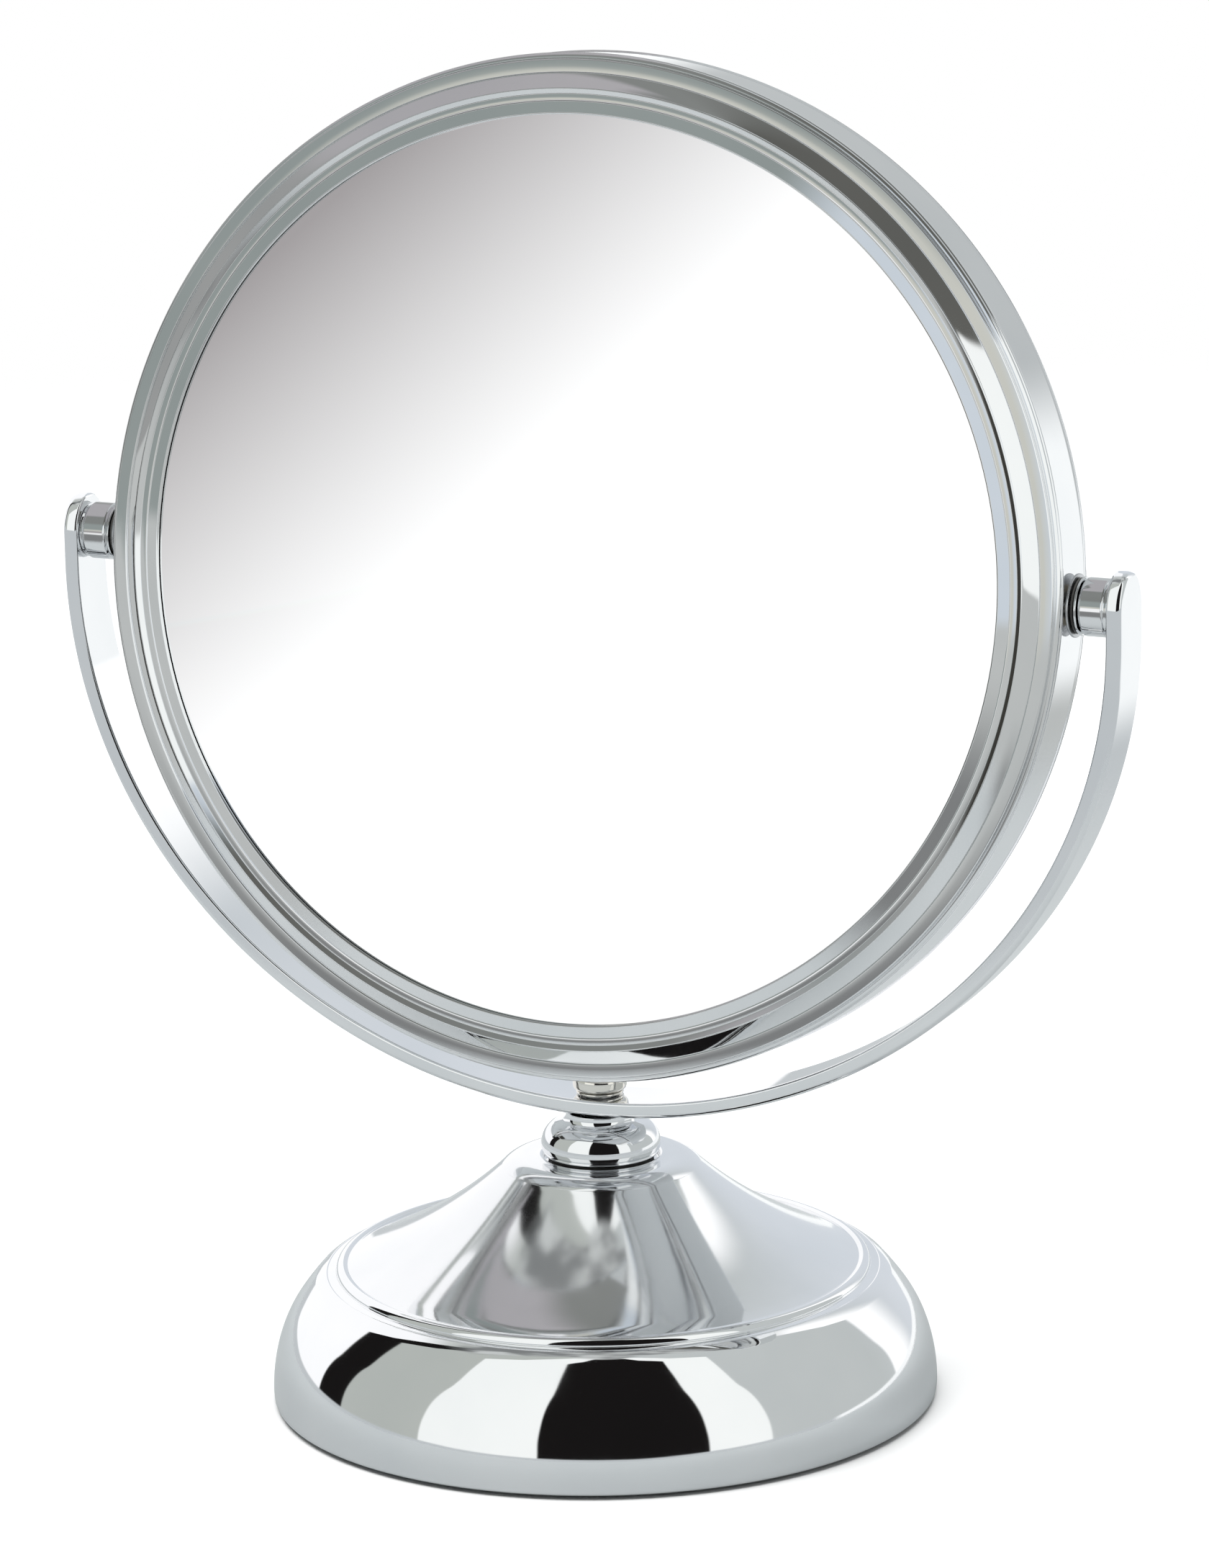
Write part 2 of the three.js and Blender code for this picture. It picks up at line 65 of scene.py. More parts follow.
YOKE_HALF_SPAN = 92.15
YOKE_CROOK_RADIUS = 85.63
YOKE_CROOK_DROP = 4.65
YOKE_THICKNESS = 2.7
YOKE_WIDTH = 10.8
YOKE_TIP_RISE = 6.2
YOKE_FLOOR = PIVOT_HEIGHT - YOKE_CROOK_DROP - YOKE_CROOK_RADIUS

PIN_RADIUS = 2.0
SPIGOT_RADIUS = 2.5
SLEEVE_RADIUS = 4.8
WASHER_BORE = 2.3
SPRING_WASHER_RADIUS = 5.2
FRICTION_WASHER_RADIUS = 4.6
CAP_NUT_RADIUS = 4.55
CAP_WASHER_RADIUS = 4.0

BASE_RADIUS = 56.1
BASE_WALL = 1.2
SKIRT_CENTRE_RADIUS = 41.0
SKIRT_FOOT = 2.0
SKIRT_RISE = 21.0
SLOPE_CENTRE = (15.15, -8.91)
SLOPE_RADIUS = 44.7
BASE_BORE = 3.5
LEDGE_HEIGHT = 41.8
SEAT_HEIGHT = 40.9
SEAT_RADIUS = 9.6
COLLAR_BOTTOM = 42.1
COLLAR_TOP = YOKE_FLOOR - YOKE_THICKNESS - 0.2
ROD_BORE = 3.3
PAD_RADIUS = 52.1
PAD_THICKNESS = 1.5

WIDE_FACETS = 240
MEDIUM_FACETS = 128
SMALL_FACETS = 72

# Closer to the axis than this counts as on it, bends below the first angle are not rounded, and
# edges above the second one are shaded sharp.
ON_AXIS = 1e-6
GENTLE_BEND_DEG = 25.0
SHARP_ANGLE_DEG = 40.0

# Most of a noise texture's values lie between these two.
NOISE_LOW = 0.3
NOISE_HIGH = 0.7

# Camera: where it stands round the pivot, and how far it is turned off the pivot.
CAMERA_AZIMUTH_DEG = 23.66
CAMERA_ELEVATION_DEG = 12.78
CAMERA_DISTANCE_M = 1.3374
CAMERA_YAW_DEG = 0.074
CAMERA_PITCH_DEG = -1.53
CAMERA_ROLL_DEG = -1.11
CAMERA_LENS_MM = 186.05
CAMERA_SENSOR_MM = 36.0

FLOOR_RADIUS_M = 3.0
FLOOR_DROP_M = 0.0002
LIGHT_PLACE_M = (-0.3, -0.2, 2.6)
LIGHT_SIZE_M = 3.0
LIGHT_POWER_W = 110
HEAD_DOME_RADIUS_M = 400
BASE_DOME_RADIUS_M = 440


# ---- Outline helpers: lists of [radius, height] ----

def arc(radius, height, radial, axial, start_deg, end_deg, steps):
    """Points of an elliptical arc, angles in degrees from +radius towards +height."""
    points = []
    for i in range(steps + 1):
        angle = math.radians(start_deg + (end_deg - start_deg) * i / steps)
        points.append([radius + radial * math.cos(angle), height + axial * math.sin(angle)])
    return points


def fillet(corner, before, after, radius, steps=5):
    """Points that round one corner of an outline, using less than half of either side."""
    most = 0.45
    here = Vector(corner)
    back = Vector(before) - here
    ahead = Vector(after) - here
    reach = min(radius, back.length * most, ahead.length * most)
    start = here + back.normalized() * reach
    end = here + ahead.normalized() * reach
    points = []
    for i in range(steps + 1):
        t = i / steps
        point = start * (1 - t) ** 2 + here * (2 * t * (1 - t)) + end * t ** 2
        points.append([point.x, point.y])
    return points


def rounded(outline, radius):
    """A closed outline with each sharp corner rounded; gentle bends and points on the axis stay."""
    points = []
    count = len(outline)
    for i, corner in enumerate(outline):
        before = outline[i - 1]
        after = outline[(i + 1) % count]
        turn = (Vector(corner) - Vector(before)).angle(Vector(after) - Vector(corner), 0.0)
        if corner[0] < ON_AXIS or turn < math.radians(GENTLE_BEND_DEG):
            points.append(list(corner))
        else:
            points.extend(fillet(corner, before, after, radius))
    return points


def mirrored(outline):
    """The same outline upside down, still anticlockwise."""
    return [[radius, -height] for radius, height in reversed(outline)]


# ---- Mesh builders ----

def link_mesh(name, vertices, faces, place=Matrix.Identity(4)):
    """A smooth-shaded mesh object whose flat faces keep their own normals."""
    mesh = bpy.data.meshes.new(name)
    mesh.from_pydata([place @ Vector(v) * MM for v in vertices], [], faces)
    mesh.validate()
    mesh.polygons.foreach_set("use_smooth", [True] * len(mesh.polygons))
    mesh.set_sharp_from_angle(angle=math.radians(SHARP_ANGLE_DEG))
    piece = bpy.data.objects.new(name, mesh)
    bpy.context.scene.collection.objects.link(piece)
    weighted = piece.modifiers.new("weighted_normals", "WEIGHTED_NORMAL")
    weighted.keep_sharp = True
    weighted.weight = 50
    return piece


def turned(name, outline, facets, place=Matrix.Identity(4)):
    """Turns an anticlockwise outline about +Z; an outline that starts on the axis is solid."""
    vertices = []
    rings = []
    for radius, height in outline:
        if radius < ON_AXIS:
            rings.append([len(vertices)])
            vertices.append((0.0, 0.0, height))
            continue
        rings.append(list(range(len(vertices), len(vertices) + facets)))
        for i in range(facets):
            angle = 2 * math.pi * i / facets
            vertices.append((radius * math.cos(angle), radius * math.sin(angle), height))
    faces = []
    for lower, upper in zip(rings, rings[1:] + rings[:1]):
        if len(lower) == 1 and len(upper) == 1:
            continue
        for i in range(facets):
            j = (i + 1) % facets
            if len(lower) == 1:
                faces.append((lower[0], upper[j], upper[i]))
            elif len(upper) == 1:
                faces.append((lower[i], lower[j], upper[0]))
            else:
                faces.append((lower[i], lower[j], upper[j], upper[i]))
    return link_mesh(name, vertices, faces, place)


def ring_outline(inner, outer, bottom, top):
    """Plain ring, or a disc where inner is 0, with square corners."""
    return [[inner, bottom], [outer, bottom], [outer, top], [inner, top]]


def head_place():
    """Turns +Z forwards along -Y, tilts it back as at rest and lifts it to the pivot."""
    forward = Matrix.Rotation(math.radians(90), 4, "X")
    tilt = Matrix.Rotation(math.radians(-REST_TILT_DEG), 4, "X")
    lift = Matrix.Translation((0, 0, PIVOT_HEIGHT))
    return lift @ tilt @ forward


def pivot_place(side):
    """Turns +Z outwards along the pivot axis on one side."""
    lift = Matrix.Translation((0, 0, PIVOT_HEIGHT))
    return lift @ Matrix.Rotation(math.radians(90) * side, 4, "Y")


# ---- Procedural materials ----

class NodeTree:
    """Short calls for adding nodes to a tree and joining them."""

    def __init__(self, tree):
        self.tree = tree

    def add(self, kind, **settings):
        node = self.tree.nodes.new(kind)
        for key, value in settings.items():
            setattr(node, key, value)
        return node

    def link(self, source, target):
        self.tree.links.new(source, target)

    def vectors(self, operation, *values):
        node = self.add("ShaderNodeVectorMath", operation=operation)
        for value, socket in zip(values, node.inputs):
            self.link(value, socket)
        return node.outputs["Vector"]


class Nodes(NodeTree):
    """Short calls for building one material around its Principled shader."""

    def __init__(self, name):
        self.material = bpy.data.materials.new(name)
        self.material.use_nodes = True
        super().__init__(self.material.node_tree)
        self.shader = self.tree.nodes["Principled BSDF"]
        self.position = self.add("ShaderNodeTexCoord").outputs["Object"]

    def noise(self, scale, detail, stretch=(1, 1, 1)):
        mapping = self.add("ShaderNodeMapping")
        mapping.inputs["Scale"].default_value = stretch
        self.link(self.position, mapping.inputs["Vector"])
        texture = self.add("ShaderNodeTexNoise")
        texture.inputs["Scale"].default_value = scale
        texture.inputs["Detail"].default_value = detail
        self.link(mapping.outputs["Vector"], texture.inputs["Vector"])
        return texture.outputs["Fac"]

    def spread(self, factor, low, high, start=NOISE_LOW, end=NOISE_HIGH):
        """Maps a factor's range from start to end onto low to high."""
        node = self.add("ShaderNodeMapRange")
        node.inputs["From Min"].default_value = start
        node.inputs["From Max"].default_value = end
        node.inputs["To Min"].default_value = low
        node.inputs["To Max"].default_value = high
        self.link(factor, node.inputs["Value"])
        return node.outputs["Result"]

    def colours(self, factor, first, second):
        ramp = self.add("ShaderNodeValToRGB")
        ramp.color_ramp.elements[0].position = NOISE_LOW
        ramp.color_ramp.elements[0].color = (*first, 1)
        ramp.color_ramp.elements[1].position = NOISE_HIGH
        ramp.color_ramp.elements[1].color = (*second, 1)
        self.link(factor, ramp.inputs["Fac"])
        self.link(ramp.outputs["Color"], self.shader.inputs["Base Color"])

    def roughness(self, factor, low, high):
        self.link(self.spread(factor, low, high), self.shader.inputs["Roughness"])

    def bump(self, factor, distance_mm, strength=1.0):
        node = self.add("ShaderNodeBump")
        node.inputs["Strength"].default_value = strength
        node.inputs["Distance"].default_value = distance_mm * MM
        self.link(factor, node.inputs["Height"])
        self.link(node.outputs["Normal"], self.shader.inputs["Normal"])

    def metal(self):
        self.shader.inputs["Metallic"].default_value = 1.0


def chrome_plate(name):
    """The cool, slightly clouded colour that all the chrome shares."""
    nodes = Nodes(name)
    nodes.metal()
    nodes.colours(nodes.noise(38, 4), (0.80, 0.815, 0.83), (0.87, 0.875, 0.885))
    return nodes


def chrome_material(name, ripple_mm):
    """Bright polished plate with faint haze, wipe marks and a slight ripple."""
    nodes = chrome_plate(name)
    nodes.roughness(nodes.noise(160, 6), 0.022, 0.06)
    nodes.bump(nodes.noise(75, 2), ripple_mm, 0.5)
    return nodes.material


def spun_chrome_material():
    """Plate over spun steel: a bright skirt below, a softer and faintly streaked bell above."""
    nodes = chrome_plate("spun_chrome")
    split = nodes.add("ShaderNodeSeparateXYZ")
    nodes.link(nodes.position, split.inputs["Vector"])
    haze_start, haze_full = 22 * MM, 26 * MM
    haze = nodes.spread(split.outputs["Z"], 0.0, 0.055, haze_start, haze_full)
    wipes = nodes.spread(nodes.noise(120, 5, (1, 1, 0.3)), 0.02, 0.05)
    total = nodes.add("ShaderNodeMath", operation="ADD")
    nodes.link(haze, total.inputs[0])
    nodes.link(wipes, total.inputs[1])
    nodes.link(total.outputs["Value"], nodes.shader.inputs["Roughness"])
    nodes.bump(nodes.noise(75, 2), 0.05, 0.5)
    return nodes.material


def nickel_material():
    """Warm plate with a soft shine, for the cap nut and its washer."""
    nodes = Nodes("warm_nickel")
    nodes.metal()
    nodes.colours(nodes.noise(60, 4), (0.74, 0.71, 0.65), (0.84, 0.82, 0.77))
    nodes.roughness(nodes.noise(220, 5), 0.05, 0.13)
    nodes.bump(nodes.noise(150, 2), 0.02, 0.4)
    return nodes.material


def silvered_glass_material():
    """Clear silvered glass: an almost perfect mirror with a trace of haze."""
    nodes = Nodes("silvered_glass")
    nodes.metal()
    nodes.colours(nodes.noise(12, 2), (0.955, 0.96, 0.965), (0.97, 0.973, 0.976))
    nodes.roughness(nodes.noise(25, 3), 0.0, 0.006)
    nodes.shader.inputs["Coat Weight"].default_value = 0.2
    nodes.shader.inputs["Coat Roughness"].default_value = 0.01
    return nodes.material


def zinc_material():
    nodes = Nodes("zinc_steel")
    nodes.metal()
    nodes.colours(nodes.noise(90, 5), (0.5, 0.51, 0.53), (0.66, 0.67, 0.68))
    nodes.roughness(nodes.noise(300, 6, (1, 1, 4)), 0.24, 0.42)
    nodes.bump(nodes.noise(500, 5, (1, 1, 5)), 0.03, 0.5)
    return nodes.material


def brass_material():
    nodes = Nodes("brass")
    nodes.metal()
    nodes.colours(nodes.noise(70, 4), (0.66, 0.5, 0.24), (0.8, 0.64, 0.34))
    nodes.roughness(nodes.noise(260, 5, (5, 1, 1)), 0.18, 0.34)
    nodes.bump(nodes.noise(420, 4, (6, 1, 1)), 0.03, 0.5)
    return nodes.material


def cast_iron_material():
    nodes = Nodes("cast_iron")
    nodes.shader.inputs["Metallic"].default_value = 0.35
    nodes.colours(nodes.noise(120, 8), (0.035, 0.035, 0.037), (0.085, 0.085, 0.09))
    nodes.roughness(nodes.noise(200, 6), 0.55, 0.85)
    nodes.bump(nodes.noise(420, 8), 0.35)
    return nodes.material


def moulded_material(name, dark, light, roughness, grain_scale, grain_mm):
    """Moulded plastic, foam or rubber, told apart by colour, gloss and the size of its grain."""
    nodes = Nodes(name)
    nodes.colours(nodes.noise(grain_scale * 0.4, 4), dark, light)
    nodes.roughness(nodes.noise(grain_scale, 4), roughness - 0.08, roughness + 0.08)
    nodes.bump(nodes.noise(grain_scale, 6), grain_mm)
    return nodes.material


MATERIALS = {
    "chrome": chrome_material("chrome", 0.015),
    "head_chrome": chrome_material("head_chrome", 0.002),
    "spun_chrome": spun_chrome_material(),
    "warm_nickel": nickel_material(),
    "silvered_glass": silvered_glass_material(),
    "zinc_steel": zinc_material(),
    "brass": brass_material(),
    "cast_iron": cast_iron_material(),
}
# Darker colour, lighter colour, roughness, grain scale and grain depth in millimetres.
MOULDINGS = {
    "black_nylon": ((0.045, 0.044, 0.041), (0.08, 0.078, 0.072), 0.45, 300, 0.03),
    "grey_carrier": ((0.16, 0.165, 0.17), (0.2, 0.205, 0.21), 0.5, 250, 0.05),
    "grey_foam": ((0.2, 0.2, 0.195), (0.32, 0.32, 0.31), 0.88, 900, 0.25),
    "foam_rubber_pad": ((0.02, 0.02, 0.021), (0.05, 0.05, 0.052), 0.86, 1100, 0.25),
}
for moulding, recipe in MOULDINGS.items():
    MATERIALS[moulding] = moulded_material(moulding, *recipe)


def dress(piece, body, slot, nodes, material=None):
    """Gives a new piece the material of its slot, or the one named instead, hangs it on its body and hides the CAD
    nodes that it stands for.
    """
    piece.data.materials.append(MATERIALS[material or slot])
    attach(piece, body)
    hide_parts(*nodes)


# ---- Mirror head ----

def bezel_outline():
    """Tongue inside the hoop, then in across the face to the lip on the glass, and back behind."""
    gap = 0.3
    seam = HOOP_HALF_DEPTH + gap
    tongue = HOOP_RADIUS - HOOP_WALL - gap
    lip_back = GLASS_FACE + gap
    recess = GLASS_RADIUS + gap
    shoulder = [[HOOP_RADIUS + 0.1, seam], *arc(HOOP_RADIUS - 0.7, seam, 0.8, 0.62, 25, 85, 6)]
    outer_band = [[84.0, 6.3], [83.94, 7.2], [83.8, 7.3], [82.8, 7.4], [81.92, 7.46], [81.78, 7.42]]
    channel = [[81.7, 7.3], [81.56, 7.34], [80.9, 7.8], [80.2, 8.33], [79.5, 8.93]]
    ridge = [[79.36, 9.14], [79.22, 9.2], [78.46, 8.79], [78.34, 8.76]]
    inner_band = [[78.2, 8.79], [77.85, 8.83], [77.35, 8.87], [77.22, 8.84], [77.12, 8.8]]
    lip = [
        [GLASS_VISIBLE_RADIUS + 0.25, 9.2],
        [GLASS_VISIBLE_RADIUS, 9.05],
        [GLASS_VISIBLE_RADIUS, lip_back],
    ]
    face = [*shoulder, *outer_band, *channel, *ridge, *inner_band, *lip]
    back = [[recess, lip_back], [recess, seam], [tongue - 1, seam]]
    return [[tongue - 1, seam - 2], [tongue, seam - 2], [tongue, seam], *face, *back]


def hoop_outline():
    """Flat band with softly rounded outer edges."""
    inner = HOOP_RADIUS - HOOP_WALL
    half = HOOP_HALF_DEPTH
    edge = arc(HOOP_RADIUS - 0.25, half - 0.42, 0.45, 0.42, -30, 90, 6)
    top = [[HOOP_RADIUS, half - 0.9], *edge, [inner, half]]
    return [*mirrored(top), *top]


def flat_glass_outline():
    """Disc with a ground arris round both faces."""
    back = GLASS_FACE - GLASS_THICKNESS
    arris = 0.4
    return [
        [0, back],
        [GLASS_RADIUS - arris, back],
        [GLASS_RADIUS, back + arris],
        [GLASS_RADIUS, GLASS_FACE - arris],
        [GLASS_RADIUS - arris, GLASS_FACE],
        [0, GLASS_FACE],
    ]


def dished_glass_outline():
    """Glass of even thickness whose face is hollowed towards the middle."""
    steps = 40
    face = []
    back = []
    for i in range(steps + 1):
        radius = GLASS_RADIUS * i / steps
        dish = MAGNIFIER_SAG * (1 - (i / steps) ** 2)
        face.append([radius, -GLASS_FACE + dish])
        back.append([radius, -GLASS_FACE + GLASS_THICKNESS + dish])
    return [*face, *reversed(back)]


def build_head():
    """Builds the pieces of the mirror head that show, and returns them."""
    place = head_place()
    bezel = rounded(bezel_outline(), 0.1)
    hoop = rounded(hoop_outline(), 0.15)
    flat = rounded(flat_glass_outline(), 0.1)
    dished = dished_glass_outline()
    plan = [
        ("bezel_front", bezel, "front_bezel", "chrome", "head_chrome"),
        ("bezel_rear", mirrored(bezel), "rear_bezel", "chrome", "head_chrome"),
        ("hoop_band", hoop, "frame_hoop", "chrome", "head_chrome"),
        ("glass_front", flat, "front_mirror_glass", "silvered_glass", "silvered_glass"),
        ("glass_rear_magnifying", dished, "rear_magnifying_glass", "silvered_glass", "silvered_glass"),
    ]
    pieces = []
    for name, outline, node, slot, material in plan:
        piece = turned(name, outline, WIDE_FACETS, place)
        dress(piece, "mirror_head", slot, [node], material)
        pieces.append(piece)
    return pieces


# ---- Yoke ----

def yoke_path(steps_per_arm=36, steps_round=150):
    """Points down the middle of the band from the right tip to the left one: (x, z, half width)."""
    # Angle of the first point round the tip, and how strongly the points crowd towards it.
    first_deg = 2
    crowding = 1.3
    span = YOKE_HALF_SPAN + YOKE_THICKNESS / 2
    crook = YOKE_CROOK_RADIUS + YOKE_THICKNESS / 2
    centre = PIVOT_HEIGHT - YOKE_CROOK_DROP
    tip_radius = YOKE_WIDTH / 2
    arm = []
    for i in range(steps_per_arm):
        share = (i / steps_per_arm) ** crowding
        angle = math.radians(first_deg + (90 - first_deg) * share)
        rise = YOKE_TIP_RISE * math.cos(angle)
        arm.append((span, PIVOT_HEIGHT + rise, tip_radius * math.sin(angle)))
    arm += [(span, PIVOT_HEIGHT - drop, tip_radius) for drop in (0.0, 1.5, 3.0)]
    bend = []
    for i in range(steps_round + 1):
        angle = math.pi * i / steps_round
        bend.append((span * math.cos(angle), centre - crook * math.sin(angle), tip_radius))
    far_arm = [(-x, z, half) for x, z, half in reversed(arm)]
    return arm + bend + far_arm


def band_section(half_width, tip_distance):
    """Rounded rectangle across the band, thinner close to its tips: [outwards, across]."""
    soft = 1.0
    crisp = 0.5
    outer = YOKE_THICKNESS / 2 - edge_relief(soft, tip_distance)
    inner = YOKE_THICKNESS / 2 - edge_relief(crisp, tip_distance)
    most = half_width * 0.6
    soft = min(soft, most, outer + 0.3)
    crisp = min(crisp, most)
    section = []
    corners = [
        (outer - soft, half_width - soft, soft, 0),
        (crisp - inner, half_width - crisp, crisp, 90),
        (crisp - inner, crisp - half_width, crisp, 180),
        (outer - soft, soft - half_width, soft, 270),
    ]
    for out, across, radius, start in corners:
        section += arc(out, across, radius, radius, start, start + 90, 6)
    return section


def edge_relief(radius, distance):
    """How far a face with a rounded edge of this radius falls away at a distance from the edge."""
    short = max(radius - distance, 0.0)
    return radius - math.sqrt(radius ** 2 - short ** 2)


def build_yoke_band():
    """Sweeps the band's section along the yoke and closes both tips."""
    path = yoke_path()
    vertices = []
    for i, (x, z, half_width) in enumerate(path):
        before = path[max(i - 1, 0)]
        after = path[min(i + 1, len(path) - 1)]
        along = Vector((after[0] - before[0], 0, after[1] - before[1])).normalized()
        outward = Vector((-along.z, 0, along.x))
        tip_distance = max(PIVOT_HEIGHT + YOKE_TIP_RISE - z, 0.0)
        for out, across in band_section(half_width, tip_distance):
            point = Vector((x, 0, z)) + outward * out
            vertices.append((point.x, across, point.z))
    sides = len(vertices) // len(path)
    faces = []
    for i in range(len(path) - 1):
        for k in range(sides):
            j = (k + 1) % sides
            a, b = i * sides + k, i * sides + j
            faces.append((a, a + sides, b + sides, b))
    faces.append(tuple(range(sides)))
    faces.append(tuple(reversed(range(len(vertices) - sides, len(vertices)))))
    band = link_mesh("yoke_band", vertices, faces)
    dress(band, "yoke", "chrome", ["yoke_arm"])


def stud_outline(low, start, high):
    """Pin from low, sleeve from start to the yoke arm, then the spigot that ends at high."""
    groove = PIN_RADIUS - 0.5
    chamfer = 0.45
    relief = SLEEVE_RADIUS - 0.25
    face = YOKE_HALF_SPAN - 0.05
    return [
        [0, low],
        [PIN_RADIUS, low],
        [PIN_RADIUS, low + 0.7],
        [groove, low + 0.7],
        [groove, low + 1.7],
        [PIN_RADIUS, low + 1.7],
        [PIN_RADIUS, start],
        [SLEEVE_RADIUS - chamfer, start],
        [SLEEVE_RADIUS, start + chamfer],
        [SLEEVE_RADIUS, face - 0.9],
        [relief, face - 0.65],
        [relief, face],
        [SPIGOT_RADIUS, face],
        [SPIGOT_RADIUS, high],
        [0, high],
    ]


def build_pivot(label, side):
    """Builds one pivot's washers and stud, from the hoop outwards, and returns them."""
    place = pivot_place(side)
    washers = [
        ("spring_washer", SPRING_WASHER_RADIUS, "zinc_steel"),
        ("friction_washer", FRICTION_WASHER_RADIUS, "black_nylon"),
        ("outer_washer", SLEEVE_RADIUS, "chrome"),
    ]
    pieces = []
    for kind, radius, slot in washers:
        node = f"{label}_{kind}"
        bottom, top = pivot_reach(node, side)
        outline = rounded(ring_outline(WASHER_BORE, radius, bottom, top), 0.15)
        washer = turned(f"{node}_ring", outline, SMALL_FACETS, place)
        dress(washer, "yoke", slot, [node])
        pieces.append(washer)
    clearance = 0.15
    sleeve_start = pivot_reach(f"{label}_outer_washer", side)[1] + clearance
    low, high = pivot_reach(f"{label}_pivot_stud", side)
    outline = rounded(stud_outline(low, sleeve_start, high), 0.2)
    stud = turned(f"{label}_stud_sleeve", outline, SMALL_FACETS, place)
    dress(stud, "yoke", "chrome", [f"{label}_pivot_stud"])
    return [*pieces, stud]


def pivot_reach(node, side):
    """How far along the pivot axis a node starts and ends, in millimetres from the middle."""
    low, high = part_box(node)
    ends = sorted((side * low.x / MM, side * high.x / MM))
    return ends[0], ends[1]


def collar_outline():
    """Round-edged lip over the seat, a bead above it, then a short neck up to the yoke."""
    neck = 5.8
    bead = 4.15
    bead_height = COLLAR_BOTTOM + 1.8
    lip = SEAT_RADIUS + 0.1
    return [
        [ROD_BORE, COLLAR_BOTTOM],
        [lip - 0.5, COLLAR_BOTTOM],
        *arc(lip - 0.35, COLLAR_BOTTOM + 0.35, 0.35, 0.35, -60, 60, 6),
        [lip - 0.3, COLLAR_BOTTOM + 0.85],
        *arc(neck + 0.1, bead_height, bead, bead, -13, 64, 22),
        *arc(neck + 1.2, COLLAR_TOP - 0.5, 1.2, 1.35, 232, 180, 8),
        [neck, COLLAR_TOP],
        [ROD_BORE, COLLAR_TOP],
    ]


def cap_nut_outline(bottom, height):
    """Full side drawn in at the foot and rounded over the top, blind bore below."""
    crown = 1.7
    roof = 1
    return [
        [0, bottom + height - roof],
        [ROD_BORE, bottom + height - roof],
        [ROD_BORE, bottom],
        [CAP_NUT_RADIUS - 0.7, bottom],
        *arc(CAP_NUT_RADIUS - 0.9, bottom + 0.85, 0.9, 0.85, -72, 0, 10),
        *arc(CAP_NUT_RADIUS - crown, bottom + height - crown, crown, crown, 0, 90, 20),
        [0, bottom + height],
    ]


def build_stem():
    """Builds the collar under the yoke, and the cap nut and washer on top of it."""
    collar = turned("collar_spool", rounded(collar_outline(), 0.15), MEDIUM_FACETS)
    dress(collar, "yoke", "chrome", ["collar"])
    low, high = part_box("cap_nut")
    bottom = low.z / MM
    outline = rounded(cap_nut_outline(bottom, high.z / MM - bottom), 0.15)
    nut = turned("cap_nut_dome", outline, SMALL_FACETS)
    dress(nut, "yoke", "warm_nickel", ["cap_nut"])
    low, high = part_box("cap_nut_washer")
    outline = rounded(ring_outline(ROD_BORE, CAP_WASHER_RADIUS, low.z / MM, high.z / MM), 0.2)
    washer = turned("cap_nut_ring", outline, SMALL_FACETS)
    dress(washer, "yoke", "warm_nickel", ["cap_nut_washer"])


# ---- Base ----

def flare(start, end, sag, steps):
    """Slightly hollow slope between two outline points."""
    inward, down = 0.54, 0.84
    points = []
    for i in range(steps + 1):
        along = i / steps
        hollow = 4 * sag * along * (1 - along)
        radius = start[0] + (end[0] - start[0]) * along
        height = start[1] + (end[1] - start[1]) * along
        points.append([radius - hollow * inward, height - hollow * down])
    return points


def base_outline():
    """Spun shell: up the inside, round the foot, then skirt, slope, rim, bead, bell and seat."""
    reach = BASE_RADIUS - SKIRT_CENTRE_RADIUS
    skirt = arc(SKIRT_CENTRE_RADIUS, SKIRT_FOOT, reach, SKIRT_RISE, 0, 44, 30)
    slope = arc(*SLOPE_CENTRE, SLOPE_RADIUS, SLOPE_RADIUS, 35.4, 42, 12)
    rim = [[47.6, 21.62], [46.75, 22.14], [46.45, 22.08], [46.15, 22.18], [45.3, 22.3]]
    bead = arc(43.9, 22.5, 1.2, 1.2, -4, 128, 16)
    cove = [[42.85, 23.5]]
    bell = flare((42.3, 23.65), (16.6, 40.3), 1.4, 30)[1:]
    shoulder = arc(12.9, LEDGE_HEIGHT - 5.5, 5.5, 5.5, 46, 90, 12)
    ledge = arc(10.3, LEDGE_HEIGHT - 0.3, 0.6, 0.45, 60, 150, 6)
    seat = [[11.1, LEDGE_HEIGHT], *ledge, [SEAT_RADIUS, SEAT_HEIGHT], [BASE_BORE, SEAT_HEIGHT]]
    toe = BASE_RADIUS - 0.45
    toe_height = 0.4
    foot = [[toe, toe_height], [BASE_RADIUS - 0.1, 0.75]]
    lining = [
        [BASE_BORE, SEAT_HEIGHT - BASE_WALL],
        [14, SEAT_HEIGHT - BASE_WALL],
        [27.4, 29.4],
        [SKIRT_CENTRE_RADIUS, 22.6],
        *arc(SKIRT_CENTRE_RADIUS, SKIRT_FOOT, reach - BASE_WALL, SKIRT_RISE - BASE_WALL, 68, 0, 12),
        [toe - BASE_WALL, toe_height],
    ]
    return [*lining, *foot, *skirt, *slope, *rim, *bead, *cove, *bell, *shoulder, *seat]


